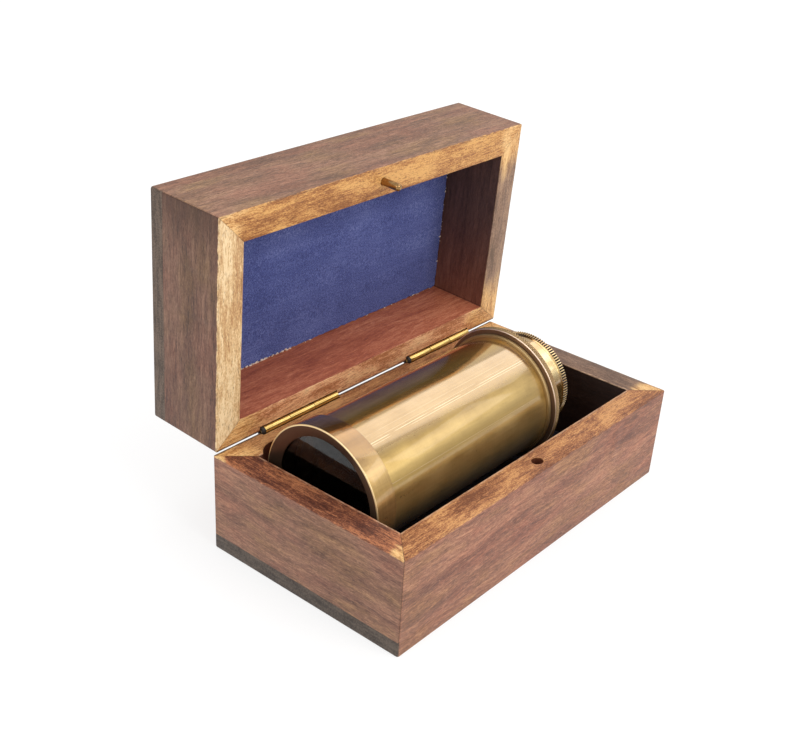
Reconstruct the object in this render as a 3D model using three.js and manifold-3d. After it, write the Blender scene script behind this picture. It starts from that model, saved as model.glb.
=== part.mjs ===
// A turned brass kaleidoscope in its fitted hinged hardwood case, with the case open.
// Millimetres, +Z up. X runs along the case, from the object-cell end (-X) to the eyepiece end (+X).
// The case opens at the front (-Y) and its hinges are at the back (+Y).
// The origin is the centre of the case's underside.
import * as THREE from "three";
import { mergeVertices } from "three/addons/utils/BufferGeometryUtils.js";
import Module from "manifold-3d";

const wasm = await Module();
wasm.setup();

// ---------------------------------------------------------------- driving dimensions

const GAP = 0.3; // between glued or touching pieces

// case
const CASE_LENGTH = 165;
const CASE_WIDTH = 89.6;
const BASE_HEIGHT = 39.6;
const LID_LENGTH = 166.2; // the lid is cut a little longer than the base
const LID_HEIGHT = 33.5;
const LID_SHIFT = 2; // the hinges hold the lid this much towards the eyepiece end
const WALL = 11.4;
const LID_BACK_WALL = 9.3; // the lid's hinge side is planed thinner
const BOTTOM_BOARD = 6.2;
const TOP_BOARD = 6.0;
const FELT = 1.4;
const LID_FELT = 0.8;
const CLOSED_GAP = 0.5; // between the two rims when the lid is shut
const OPEN_ANGLE = THREE.MathUtils.degToRad(87.4); // the lid at its stop

// catch peg, and the hole it drops into, which leaves room for the peg's swing
const PEG_X = -0.8;
const PEG_FROM_HINGE_FACE = 83.8;
const PEG_HOLE_X = -1.2;
const PEG_HOLE_FROM_HINGE_FACE = 84.1;
const PEG_RADIUS = 1.45;
const PEG_PROUD = 8.3;
const PEG_SUNK = 7.5;
const PEG_HOLE_RADIUS = 2.15;
const PEG_HOLE_DEPTH = 11;

// hinges: the axis lies just above the base's back edge
const HINGE_Y = CASE_WIDTH / 2;
const HINGE_Z = BASE_HEIGHT + 0.4;
const HINGE_STARTS = [-57.8, 25.5];
const HINGE_LENGTH = 39.3;
const KNUCKLES = 3;
const BARREL_RADIUS = 1.6;
const PIN_RADIUS = 0.7;
const PIN_HEAD_RADIUS = 1.15;
const PIN_HEAD = 0.7;
const LEAF_THICKNESS = 0.7;
const LEAF_DEPTH = 13;
const LEAF_Y = CASE_WIDTH / 2 - 0.8; // front face of a leaf let into the back face
const MORTISE_RADIUS = 2.05;
const NAIL_RADIUS = 0.5;
const NAIL_HEAD_RADIUS = 1.1;
const NAIL_LENGTH = 6;
const NAILS_PER_LEAF = 2;

// kaleidoscope, turned parts: stations are along its own axis, 0 above the case's centre
const SCOPE_Y = 5.1;
const COLLAR_RADIUS = 26.6;
const COLLAR_FRONT = -68.4;
const COLLAR_BACK = -58.8;
const CELL_OPENING = 21.5;
const TUBE_RADIUS = 24.6;
const TUBE_WALL = 1.1;
const TUBE_FRONT = -62.3;
const TUBE_BACK = 34.1;
const FLANGE_RADIUS = 27.6;
const FLANGE_FRONT = 36.0;
const FLANGE_BACK = 38.9;
const BEAD_RADIUS = 25.7;
const THREAD_RADIUS = 17.3;
const CAP_RADIUS = 19.8;
const CAP_RIM_RADIUS = 20.4;
const CAP_RIM_FRONT = 52.6;
const CAP_BACK = 55.6;
const PEEP_RADIUS = 3.5;
const MIRROR_THICKNESS = 2;
const MIRROR_INNER = 10.6; // distance from the axis to each reflecting face
const MIRROR_HALF_WIDTH = 17.8;

// an upright scoop in the back wall, beside the widest part of the object cell
const RELIEF_RADIUS = 9.2;
const RELIEF_X = -61;
const RELIEF_Y = 28.5;
const RELIEF_LOW = 12;

const ROUND = 48; // facets of the large turned parts
const SMALL_ROUND = 16; // facets of pins and nails

// it lies on its collar and its flange, so its axis rises a little towards the eyepiece
const FLOOR_Z = BOTTOM_BOARD + 0.3 + FELT;
const SCOPE_TILT = Math.atan((FLANGE_RADIUS - COLLAR_RADIUS) / (FLANGE_FRONT - COLLAR_FRONT));
const SCOPE_Z = FLOOR_Z + GAP + FLANGE_RADIUS - FLANGE_FRONT * Math.tan(SCOPE_TILT);

// ---------------------------------------------------------------- materials

const finish = (color, roughness, metalness, extra = {}) => () =>
  new THREE.MeshStandardMaterial({ color, roughness, metalness, ...extra });
const rosewood = finish(0x7d5a48, 0.6, 0);
const feltBlue = finish(0x3b4178, 1, 0);
const agedBrass = finish(0xb08a50, 0.38, 1);
const hingeBrass = finish(0xc9a657, 0.3, 1);
const mirrorGlass = finish(0xdfe4e8, 0.05, 1);
const clearGlass = finish(0xcfd8dc, 0.05, 0, { transparent: true, opacity: 0.35 });
const cork = finish(0x9a7448, 0.95, 0);
const chipGlass = (color) => finish(color, 0.1, 0, { transparent: true, opacity: 0.8 })();

// ---------------------------------------------------------------- solids

function solidOf(geometry) {
  const bare = geometry.index ? geometry.toNonIndexed() : geometry.clone();
  bare.deleteAttribute("normal");
  bare.deleteAttribute("uv");
  const merged = mergeVertices(bare, 1e-4);
  return new wasm.Manifold(
    new wasm.Mesh({
      numProp: 3,
      vertProperties: new Float32Array(merged.attributes.position.array),
      triVerts: new Uint32Array(merged.index.array),
    }),
  );
}

function geometryOf(solid) {
  const mesh = solid.getMesh();
  const geometry = new THREE.BufferGeometry();
  geometry.setAttribute("position", new THREE.BufferAttribute(mesh.vertProperties, 3));
  geometry.setIndex(new THREE.BufferAttribute(mesh.triVerts, 1));
  geometry.computeVertexNormals();
  return geometry;
}

const cut = (from, ...tools) => tools.reduce((left, tool) => left.subtract(tool), from);
const join = (first, ...rest) => rest.reduce((sum, piece) => sum.add(piece), first);

function block([x0, x1], [y0, y1], [z0, z1]) {
  const geometry = new THREE.BoxGeometry(x1 - x0, y1 - y0, z1 - z0);
  return solidOf(geometry.translate((x0 + x1) / 2, (y0 + y1) / 2, (z0 + z1) / 2));
}

// A turned piece about the X axis, from a closed outline of [station, radius] points.
function turned(outline, facets = ROUND) {
  const points = outline.map(([station, radius]) => new THREE.Vector2(radius, station));
  if (THREE.ShapeUtils.area(points) < 0) points.reverse();
  const touchesAxis = points.some((point) => point.x === 0);
  if (touchesAxis) {
    while (points[0].x !== 0 || points[points.length - 1].x !== 0) points.push(points.shift());
  } else {
    points.push(points[0].clone());
  }
  return solidOf(new THREE.LatheGeometry(points, facets).rotateZ(-Math.PI / 2));
}

const rod = (x0, x1, radius, facets = SMALL_ROUND) =>
  turned([[x0, 0], [x0, radius], [x1, radius], [x1, 0]], facets);
const ring = (x0, x1, inner, outer) =>
  turned([[x0, inner], [x0, outer], [x1, outer], [x1, inner]]);

// Points an X-axis piece along -Y, +Z or -Z, with its station 0 at the given place.
const pointed = (solid, degrees, place) => solid.rotate(degrees).translate(place);
const ALONG_MINUS_Y = [0, 0, -90];
const UPWARDS = [0, -90, 0];
const DOWNWARDS = [0, 90, 0];

function mesh(name, solid, material) {
  const made = new THREE.Mesh(geometryOf(solid), material);
  made.name = name;
  return made;
}

// ---------------------------------------------------------------- case walls

// One mitred wall: "front" and "back" run along X, "near" and "far" along Y.
function mitredWall(side, z0, z1, backWall = WALL, length = CASE_LENGTH) {
  const halfX = length / 2;
  const halfY = CASE_WIDTH / 2;
  const outer = { front: -halfY, back: halfY, near: -halfX, far: halfX };
  const inner = {
    front: -halfY + WALL,
    back: halfY - backWall,
    near: -halfX + WALL,
    far: halfX - WALL,
  };
  const alongX = side === "front" || side === "back";
  const [start, end] = alongX ? ["near", "far"] : ["front", "back"];
  const pullBack = GAP / Math.SQRT2;
  const outline = [
    [outer[start] + pullBack, outer[side]],
    [outer[end] - pullBack, outer[side]],
    [inner[end] - pullBack, inner[side]],
    [inner[start] + pullBack, inner[side]],
  ];
  const points = outline.map(([along, across]) =>
    alongX ? new THREE.Vector2(along, across) : new THREE.Vector2(across, along),
  );
  const shape = new THREE.Shape(points);
  const wall = new THREE.ExtrudeGeometry(shape, { depth: z1 - z0, bevelEnabled: false });
  return solidOf(wall.translate(0, 0, z0));
}

// What a hinge takes out of a back wall: the barrel's round mortise, the leaf's recess
// and the nail holes.
function hingeMortises(upwards) {
  const direction = upwards ? 1 : -1;
  return HINGE_STARTS.flatMap((start) => {
    const end = start + HINGE_LENGTH;
    const round = rod(start - PIN_HEAD - 1, end + 0.6, MORTISE_RADIUS, ROUND / 2);
    const leafSpan = [0, direction * (LEAF_DEPTH + GAP)].sort((a, b) => a - b);
    const recess = block([start - GAP, end + GAP], [LEAF_Y - GAP - HINGE_Y, 2], leafSpan);
    const holes = nailPlaces(start, direction).map(({ x, z }) =>
      pointed(rod(0, NAIL_LENGTH + 1, NAIL_RADIUS + GAP), ALONG_MINUS_Y, [x, LEAF_Y - HINGE_Y, z]),
    );
    return [round, recess, ...holes].map((tool) => tool.translate([0, HINGE_Y, HINGE_Z]));
  });
}

// ---------------------------------------------------------------- hinges, about their own axis

function nailPlaces(start, direction) {
  const places = [];
  for (let i = 0; i < NAILS_PER_LEAF; i++) {
    const share = (i + 0.5) / NAILS_PER_LEAF;
    places.push({ x: start + HINGE_LENGTH * share, z: direction * LEAF_DEPTH * 0.68 });
  }
  return places;
}

// The base leaf carries the outer knuckles and the lid leaf the middle one.
function hingeLeaf(start, direction, ownsKnuckle) {
  const pitch = HINGE_LENGTH / KNUCKLES;
  const y0 = LEAF_Y - HINGE_Y;
  const nearPlate = direction * (BARREL_RADIUS + GAP + 0.2);
  const farPlate = direction * LEAF_DEPTH;
  const zSpan = [nearPlate, farPlate].sort((a, b) => a - b);
  let leaf = block([start, start + HINGE_LENGTH], [y0, y0 + LEAF_THICKNESS], zSpan);
  for (let i = 0; i < KNUCKLES; i++) {
    if (!ownsKnuckle(i)) continue;
    const x0 = start + i * pitch + (i > 0 ? GAP / 2 : 0);
    const x1 = start + (i + 1) * pitch - (i < KNUCKLES - 1 ? GAP / 2 : 0);
    const webSpan = [0, direction * (BARREL_RADIUS + 1)].sort((a, b) => a - b);
    const web = block([x0, x1], [y0, y0 + LEAF_THICKNESS], webSpan);
    leaf = join(leaf, web, rod(x0, x1, BARREL_RADIUS, ROUND / 2));
  }
  const bore = rod(start - 1, start + HINGE_LENGTH + 1, PIN_RADIUS + GAP / 2);
  const holes = nailPlaces(start, direction).map(({ x, z }) =>
    pointed(rod(-2, 2, NAIL_RADIUS + GAP), ALONG_MINUS_Y, [x, y0, z]),
  );
  return cut(leaf, bore, ...holes);
}

function hingePin(start) {
  const end = start + HINGE_LENGTH;
  const headBack = start - GAP;
  return turned(
    [
      [headBack - PIN_HEAD, 0],
      [headBack - PIN_HEAD, PIN_HEAD_RADIUS * 0.7],
      [headBack - PIN_HEAD * 0.4, PIN_HEAD_RADIUS],
      [headBack, PIN_HEAD_RADIUS],
      [headBack, PIN_RADIUS],
      [end, PIN_RADIUS],
      [end, 0],
    ],
    SMALL_ROUND,
  );
}

function nail({ x, z }) {
  const headBack = -(LEAF_THICKNESS + GAP / 2);
  const outline = [
    [headBack - 0.45, 0],
    [headBack - 0.3, NAIL_HEAD_RADIUS * 0.7],
    [headBack, NAIL_HEAD_RADIUS],
    [headBack, NAIL_RADIUS],
    [NAIL_LENGTH - 1, NAIL_RADIUS],
    [NAIL_LENGTH, 0],
  ];
  return pointed(turned(outline, SMALL_ROUND), ALONG_MINUS_Y, [x, LEAF_Y - HINGE_Y, z]);
}

function hingePieces(direction, part) {
  const pieces = [];
  const ownsKnuckle = part === "base" ? (i) => i % 2 === 0 : (i) => i % 2 === 1;
  HINGE_STARTS.forEach((start, h) => {
    const prefix = `hinge_${h + 1}_${part}`;
    pieces.push(mesh(`${prefix}_leaf`, hingeLeaf(start, direction, ownsKnuckle), hingeBrass()));
    nailPlaces(start, direction).forEach((place, i) =>
      pieces.push(mesh(`${prefix}_nail_${i + 1}`, nail(place), hingeBrass())),
    );
    if (part === "base") pieces.push(mesh(`hinge_${h + 1}_pin`, hingePin(start), hingeBrass()));
  });
  return pieces;
}

// ---------------------------------------------------------------- base of the case

function base() {
  const group = new THREE.Group();
  const low = BOTTOM_BOARD + GAP;
  const halfX = CASE_LENGTH / 2;
  const halfY = CASE_WIDTH / 2;
  const holePlace = [PEG_HOLE_X, halfY - PEG_HOLE_FROM_HINGE_FACE, BASE_HEIGHT];
  const pegHole = pointed(
    rod(-2, PEG_HOLE_DEPTH, PEG_HOLE_RADIUS, 24), DOWNWARDS, holePlace);
  const scoop = rod(RELIEF_LOW, BASE_HEIGHT + 2, RELIEF_RADIUS, ROUND);
  const relief = pointed(scoop, UPWARDS, [RELIEF_X, RELIEF_Y, 0]);

  const walls = {
    front: cut(mitredWall("front", low, BASE_HEIGHT), pegHole),
    back: cut(mitredWall("back", low, BASE_HEIGHT), relief, ...hingeMortises(false)),
    near_end: mitredWall("near", low, BASE_HEIGHT),
    far_end: mitredWall("far", low, BASE_HEIGHT),
  };
  for (const [side, wall] of Object.entries(walls))
    group.add(mesh(`base_${side}_wall`, wall, rosewood()));

  const board = block([-halfX, halfX], [-halfY, halfY], [0, BOTTOM_BOARD]);
  const reach = WALL + GAP;
  const lining = block(
    [-halfX + reach, halfX - reach],
    [-halfY + reach, halfY - reach],
    [low, low + FELT],
  );
  group.add(mesh("base_bottom_board", board, rosewood()));
  group.add(mesh("base_felt_lining", lining, feltBlue()));

  const hinges = new THREE.Group();
  hinges.position.set(0, HINGE_Y, HINGE_Z);
  hinges.add(...hingePieces(-1, "base"));
  group.add(hinges);
  return group;
}

// ---------------------------------------------------------------- lid, built shut and then turned open

function lidPeg() {
  const tip = PEG_PROUD;
  const outline = [
    [-PEG_SUNK, 0],
    [-PEG_SUNK, PEG_RADIUS],
    [tip - 1.2, PEG_RADIUS],
    [tip - 0.4, PEG_RADIUS * 0.75],
    [tip, PEG_RADIUS * 0.3],
    [tip, 0],
  ];
  return turned(outline, 24);
}

function lid() {
  const swing = new THREE.Group();
  swing.position.set(0, HINGE_Y, HINGE_Z);
  swing.rotation.x = -OPEN_ANGLE;
  const shut = new THREE.Group();
  shut.position.set(LID_SHIFT, -HINGE_Y, -HINGE_Z);
  swing.add(shut);

  const rim = BASE_HEIGHT + CLOSED_GAP;
  const boardUnder = rim + LID_HEIGHT - TOP_BOARD;
  const wallTop = boardUnder - GAP;
  const halfX = LID_LENGTH / 2;
  const halfY = CASE_WIDTH / 2;
  const pegPlace = [PEG_X - LID_SHIFT, halfY - PEG_FROM_HINGE_FACE, rim];
  const pegSocket = pointed(
    rod(-2, PEG_SUNK + GAP, PEG_RADIUS + GAP, 24), UPWARDS, pegPlace);
  const mortises = hingeMortises(true).map((tool) => tool.translate([-LID_SHIFT, 0, 0]));

  const lidWall = (side) => mitredWall(side, rim, wallTop, LID_BACK_WALL, LID_LENGTH);
  const walls = {
    front: cut(lidWall("front"), pegSocket),
    back: cut(lidWall("back"), ...mortises),
    near_end: lidWall("near"),
    far_end: lidWall("far"),
  };
  for (const [side, wall] of Object.entries(walls))
    shut.add(mesh(`lid_${side}_wall`, wall, rosewood()));

  const reach = WALL + GAP;
  const board = block([-halfX, halfX], [-halfY, halfY], [boardUnder, rim + LID_HEIGHT]);
  const lining = block(
    [-halfX + reach, halfX - reach],
    [-halfY + reach, halfY - LID_BACK_WALL - GAP],
    [wallTop - LID_FELT, wallTop],
  );
  shut.add(mesh("lid_top_board", board, rosewood()));
  shut.add(mesh("lid_felt_lining", lining, feltBlue()));
  shut.add(mesh("lid_peg", pointed(lidPeg(), DOWNWARDS, pegPlace), agedBrass()));

  swing.add(...hingePieces(1, "lid"));
  return swing;
}

// ---------------------------------------------------------------- kaleidoscope

// Object cell: the collar with the glass chamber that turns on the tube's end.
const COLLAR_BORE = TUBE_RADIUS + GAP;
const LIP_FRONT = COLLAR_FRONT + 0.9;
const LIP_BACK = LIP_FRONT + 1.3;
const PLATE_GLASS = 2;
const CUP_FRONT = LIP_BACK + GAP + PLATE_GLASS + GAP;
const CUP_RADIUS = TUBE_RADIUS - TUBE_WALL - GAP;
const CUP_BORE = CUP_RADIUS - 1.2;
const CUP_BACK = CUP_FRONT + 9.4;
const INNER_GLASS = 1.5;
const CELL_RING = 1.2;
const CHAMBER_END = CUP_BACK - CELL_RING - GAP - INNER_GLASS;

function cellCollar() {
  const edge = 0.35;
  return turned([
    [COLLAR_FRONT, COLLAR_RADIUS - edge * 2],
    [COLLAR_FRONT, COLLAR_RADIUS - edge],
    [COLLAR_FRONT + edge, COLLAR_RADIUS],
    [COLLAR_BACK - edge, COLLAR_RADIUS],
    [COLLAR_BACK, COLLAR_RADIUS - edge],
    [COLLAR_BACK, COLLAR_BORE],
    [LIP_BACK, COLLAR_BORE],
    [LIP_BACK, CELL_OPENING],
    [LIP_FRONT, CELL_OPENING],
  ]);
}

// A flanged cup: its flange clamps the front glass and its wall reaches inside the tube.
function cellCup() {
  const flange = 0.7;
  return turned([
    [CUP_FRONT, CUP_BORE],
    [CUP_FRONT, TUBE_RADIUS],
    [CUP_FRONT + flange, TUBE_RADIUS],
    [CUP_FRONT + flange, CUP_RADIUS],
    [CUP_BACK, CUP_RADIUS],
    [CUP_BACK, CUP_BORE],
  ]);
}

// Loose coloured glass, heaped at the bottom of the chamber.
function glassChips() {
  const colors = [0xc0392b, 0x2e6fd0, 0xe0a526, 0x2f9e57, 0x8e44ad, 0xd35480, 0x1fa3a3];
  const front = LIP_BACK + GAP + PLATE_GLASS + 0.6;
  const middle = (front + CHAMBER_END) / 2;
  return colors.map((color, i) => {
    const sides = [3, 4, 12, 5][i % 4];
    const size = 2.5 - 0.3 * (i % 3);
    const thickness = 2.2 + 0.4 * (i % 2);
    const chip = new THREE.CylinderGeometry(size, size, thickness, sides);
    const turn = -Math.PI / 2 + (i - (colors.length - 1) / 2) * 0.36;
    const reach = CUP_BORE - size - 0.9;
    chip.rotateZ(Math.PI / 2).rotateX(i * 0.9);
    chip.translate(middle + (i % 2 ? 0.9 : -0.9), reach * Math.cos(turn), reach * Math.sin(turn));
    return mesh(`glass_chip_${i + 1}`, solidOf(chip), chipGlass(color));
  });
}

function objectCell() {
  const group = new THREE.Group();
  const glassFront = LIP_BACK + GAP;
  const innerFront = CHAMBER_END;
  const ringFront = innerFront + INNER_GLASS + GAP;
  const frontGlass = rod(glassFront, glassFront + PLATE_GLASS, TUBE_RADIUS, ROUND);
  const innerGlass = rod(innerFront, innerFront + INNER_GLASS, CUP_BORE - GAP, ROUND);
  const retainer = ring(ringFront, ringFront + CELL_RING - 0.2, CUP_BORE - 2, CUP_BORE - GAP);
  group.add(mesh("cell_collar", cellCollar(), agedBrass()));
  group.add(mesh("cell_front_glass", frontGlass, clearGlass()));
  group.add(mesh("cell_cup", cellCup(), agedBrass()));
  group.add(mesh("cell_inner_glass", innerGlass, clearGlass()));
  group.add(mesh("cell_retaining_ring", retainer, agedBrass()));
  group.add(...glassChips());
  return group;
}

// The tube with its three mirrors and the flanged ring that closes its eyepiece end.
function flangeRing() {
  const edge = 0.4;
  const spigot = TUBE_RADIUS - TUBE_WALL - GAP;
  return turned([
    [TUBE_BACK - 6, THREAD_RADIUS + GAP],
    [TUBE_BACK - 6, spigot],
    [TUBE_BACK + GAP, spigot],
    [TUBE_BACK + GAP, BEAD_RADIUS - edge],
    [TUBE_BACK + GAP + edge, BEAD_RADIUS],
    [FLANGE_FRONT - 0.4, BEAD_RADIUS],
    [FLANGE_FRONT, BEAD_RADIUS + 0.2],
    [FLANGE_FRONT, FLANGE_RADIUS - edge],
    [FLANGE_FRONT + edge, FLANGE_RADIUS],
    [FLANGE_BACK - edge, FLANGE_RADIUS],
    [FLANGE_BACK, FLANGE_RADIUS - edge],
    [FLANGE_BACK, THREAD_RADIUS + GAP],
  ]);
}

function mirrors() {
  const front = CUP_BACK + 1.5;
  const back = TUBE_BACK - 7;
  const pieces = [];
  for (let i = 0; i < 3; i++) {
    const strip = block(
      [front, back],
      [-MIRROR_HALF_WIDTH, MIRROR_HALF_WIDTH],
      [-MIRROR_INNER - MIRROR_THICKNESS, -MIRROR_INNER],
    );
    pieces.push(mesh(`mirror_${i + 1}`, strip.rotate([120 * i, 0, 0]), mirrorGlass()));
  }
  const bore = TUBE_RADIUS - TUBE_WALL;
  const packing = 6;
  [["front", front + 1], ["rear", back - 1 - packing]].forEach(([end, x]) => {
    const packed = ring(x, x + packing, bore - 1.2, bore - GAP);
    pieces.push(mesh(`mirror_${end}_packing`, packed, cork()));
  });
  return pieces;
}

// Eyepiece: a cap that screws into the flanged ring, with its peep hole and window.
const CAP_WALL_FRONT = CAP_BACK - 4;
const CAP_BORE = THREAD_RADIUS - 1.8;

function eyecap() {
  const edge = 0.4;
  const dish = 1.2;
  return turned([
    [TUBE_BACK - 3, CAP_BORE],
    [TUBE_BACK - 3, THREAD_RADIUS],
    [FLANGE_BACK + GAP, THREAD_RADIUS],
    [FLANGE_BACK + GAP, CAP_RADIUS],
    [CAP_RIM_FRONT - edge, CAP_RADIUS],
    [CAP_RIM_FRONT, CAP_RIM_RADIUS],
    [CAP_BACK - edge, CAP_RIM_RADIUS],
    [CAP_BACK, CAP_RIM_RADIUS - edge],
    [CAP_BACK, CAP_RIM_RADIUS - 3],
    [CAP_BACK - dish, PEEP_RADIUS + 1],
    [CAP_BACK - dish - 0.4, PEEP_RADIUS],
    [CAP_WALL_FRONT, PEEP_RADIUS],
    [CAP_WALL_FRONT, CAP_BORE],
  ]);
}

function eyepiece() {
  const window = [CAP_WALL_FRONT - GAP - 1.5, CAP_WALL_FRONT - GAP];
  const keeper = [window[0] - GAP - 1.4, window[0] - GAP];
  return [
    mesh("eyecap", eyecap(), agedBrass()),
    mesh("eye_window", rod(...window, CAP_BORE - GAP, ROUND), clearGlass()),
    mesh("eye_window_keeper", ring(...keeper, CAP_BORE - 3, CAP_BORE - GAP), agedBrass()),
  ];
}

function kaleidoscope() {
  const group = new THREE.Group();
  group.position.set(0, SCOPE_Y, SCOPE_Z);
  group.rotation.y = -SCOPE_TILT;
  group.add(objectCell());
  const tube = ring(TUBE_FRONT, TUBE_BACK, TUBE_RADIUS - TUBE_WALL, TUBE_RADIUS);
  group.add(mesh("main_tube", tube, agedBrass()));
  group.add(mesh("rear_flange_ring", flangeRing(), agedBrass()));
  group.add(...mirrors());
  group.add(...eyepiece());
  return group;
}

const group = new THREE.Group();
group.add(base(), lid(), kaleidoscope());

export default group;
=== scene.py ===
"""Looks of a brass kaleidoscope in its hinged hardwood case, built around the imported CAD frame.

The tables below are in millimetres, and Blender is in metres. X runs along the case, the case opens
at -Y and its hinges are at +Y. The lid's pieces are built shut and then turned open about the hinges.
"""

import math

import bmesh
import bpy
import numpy as np
from mathutils import Matrix, Vector, noise


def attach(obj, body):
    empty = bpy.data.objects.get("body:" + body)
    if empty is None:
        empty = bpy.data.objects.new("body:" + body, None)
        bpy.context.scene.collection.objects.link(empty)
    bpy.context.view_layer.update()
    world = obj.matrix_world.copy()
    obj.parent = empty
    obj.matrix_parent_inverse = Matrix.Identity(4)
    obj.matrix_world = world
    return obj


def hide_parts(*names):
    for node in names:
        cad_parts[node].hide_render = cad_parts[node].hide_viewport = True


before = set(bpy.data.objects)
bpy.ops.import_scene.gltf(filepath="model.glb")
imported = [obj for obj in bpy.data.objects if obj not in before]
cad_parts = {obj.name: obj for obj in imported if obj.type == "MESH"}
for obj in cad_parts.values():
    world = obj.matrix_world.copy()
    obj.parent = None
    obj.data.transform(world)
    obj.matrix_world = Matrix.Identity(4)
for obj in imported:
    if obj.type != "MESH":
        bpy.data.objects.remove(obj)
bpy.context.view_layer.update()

# ---- dimensions, as in the CAD model

MM = 0.001
CASE_LENGTH = 165.0
CASE_WIDTH = 89.6
WALL = 11.4
BASE_TOP = 39.6
BOARD_TOP = 6.2
LID_RIM = 40.1
LID_BACK_WALL = 9.3
LID_LENGTH = 166.2
LID_WALL_TOP = 67.6
LID_TOP = 73.6
LID_SHIFT = 2.0
OPEN_ANGLE = math.radians(87.4)
HINGE_Y = 44.8
HINGE_Z = 40.0
HINGE_STARTS = (-57.8, 25.5)
HINGE_LENGTH = 39.3
KNUCKLES = 3
BARREL_RADIUS = 1.6
PIN_RADIUS = 0.7
LEAF_Y = 44.0
LEAF_THICKNESS = 0.7
LEAF_DEPTH = 13.0
MORTISE_RADIUS = 2.05
PEG_X = -0.8
PEG_Y = -39.0
PEG_HOLE_X = -1.2
PEG_HOLE_Y = -39.3
PEG_RADIUS = 1.45
PEG_PROUD = 8.3
PEG_SUNK = 7.5
PEG_HOLE_RADIUS = 2.15
PEG_HOLE_DEPTH = 11.0
RELIEF_X = -61.0
RELIEF_Y = 28.5
RELIEF_LOW = 12.0
RELIEF_RADIUS = 9.2
LINING_GAP = 0.3  # what a felt lining is smaller than its cavity
BASE_FELT_TOP = 7.85
BASE_FELT_UNDER = 6.55
LID_FELT_FACE = 66.55
LID_FELT_BACK = 67.25
SCOPE_Y = 5.1
SCOPE_Z = 35.4552
SCOPE_TILT = math.radians(0.54879)

# The kaleidoscope's stations are along its own axis, from the object cell's end to the eyepiece.
TUBE_FRONT = -62.3
TUBE_BACK = 34.1
TUBE_RADIUS = 24.6
TUBE_BORE = 23.5
COLLAR_FRONT = -68.4
COLLAR_BACK = -58.8
COLLAR_RADIUS = 26.6
CELL_OPENING = 21.5
COLLAR_SEAT = -66.2
SEAT_RADIUS = 24.75
FLANGE_INSIDE = 28.1
FLANGE_FRONT = 36.0
FLANGE_BACK = 38.9
FLANGE_RADIUS = 27.6
BEAD_RADIUS = 25.7
THREAD_BORE = 17.6
FLANGE_TEETH = 150
CAP_INSIDE = 31.1
CAP_SHOULDER = 39.2
CAP_RIM = 52.6
CAP_BACK = 55.6
CAP_RADIUS = 19.8
CAP_RIM_RADIUS = 20.4
CAP_BORE = 15.5
CAP_TEETH = 116
PEEP_RADIUS = 3.5

SCOPE = Matrix.Translation((0, SCOPE_Y * MM, SCOPE_Z * MM)) @ Matrix.Rotation(-SCOPE_TILT, 4, "Y")
HINGE = Matrix.Translation((0, HINGE_Y * MM, HINGE_Z * MM))
OPEN = HINGE @ Matrix.Rotation(-OPEN_ANGLE, 4, "X") @ HINGE.inverted()
LID_OPEN = OPEN @ Matrix.Translation((LID_SHIFT * MM, 0, 0))

# ---- mesh tools


def new_object(name, data):
    """An object in the scene, with that mesh, light or camera."""
    obj = bpy.data.objects.new(name, data)
    bpy.context.scene.collection.objects.link(obj)
    return obj


def mesh_object(name, points, faces):
    """A mesh object from points in millimetres, with its faces turned outwards."""
    mesh = bpy.data.meshes.new(name)
    mesh.from_pydata([tuple(c * MM for c in p) for p in points], [], faces)
    work = bmesh.new()
    work.from_mesh(mesh)
    bmesh.ops.recalc_face_normals(work, faces=work.faces)
    work.to_mesh(mesh)
    work.free()
    return new_object(name, mesh)


def boolean(obj, others, operation="DIFFERENCE"):
    """Cuts the others out of obj, or joins them to it, and removes them."""
    for other in others:
        step = obj.modifiers.new("step", "BOOLEAN")
        step.operation = operation
        step.solver = "EXACT"
        step.object = other
    evaluated = obj.evaluated_get(bpy.context.evaluated_depsgraph_get())
    made = bpy.data.meshes.new_from_object(evaluated)
    obj.modifiers.clear()
    obj.data = made
    for other in others:
        bpy.data.objects.remove(other)


def eased(corners, steps=3):
    """A closed outline from (a, b, easing) corners, each rounded off by its easing."""
    outline = []
    for i, (a, b, ease) in enumerate(corners):
        here = np.array((a, b))
        if ease <= 0:
            outline.append((a, b))
            continue
        before = np.array(corners[i - 1][:2]) - here
        after = np.array(corners[(i + 1) % len(corners)][:2]) - here
        start = here + before / np.linalg.norm(before) * ease
        end = here + after / np.linalg.norm(after) * ease
        for t in np.linspace(0, 1, steps + 1):
            point = (1 - t) ** 2 * start + 2 * t * (1 - t) * here + t * t * end
            outline.append(tuple(point))
    return outline


def lathe(name, corners, segments, knurl=None):
    """A turned piece about the X axis from (station, radius, easing) corners, closed."""
    points = []
    rings = []
    angles = np.arange(segments) * 2 * math.pi / segments
    for station, radius in eased(corners):
        if radius < 1e-6:
            rings.append([len(points)])
            points.append((station, 0, 0))
            continue
        radii = np.full(segments, radius)
        if knurl:
            radii = radii - knurl(station, radius, angles)
        rings.append(list(range(len(points), len(points) + segments)))
        points.extend(zip([station] * segments, radii * np.cos(angles), radii * np.sin(angles)))
    faces = []
    for one, two in zip(rings, rings[1:] + rings[:1]):
        if len(one) == 1 and len(two) == 1:
            continue
        for i in range(segments):
            j = (i + 1) % segments
            if len(one) == 1:
                faces.append((one[0], two[j], two[i]))
            elif len(two) == 1:
                faces.append((one[i], one[j], two[0]))
            else:
                faces.append((one[i], one[j], two[j], two[i]))
    return mesh_object(name, points, faces)


def disc(name, low, high, radius, ease, segments):
    """A turned disc or rod between two stations, with its edges eased."""
    outline = [(low, 0, 0), (low, radius, ease), (high, radius, ease), (high, 0, 0)]
    return lathe(name, outline, segments)


def ring(name, low, high, inner, outer, eases, segments):
    """A turned ring between two stations and two radii. eases are its inner and outer edges'."""
    inside, outside = (inner, eases[0]), (outer, eases[1])
    outline = [(low, *inside), (low, *outside), (high, *outside), (high, *inside)]
    return lathe(name, outline, segments)


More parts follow.
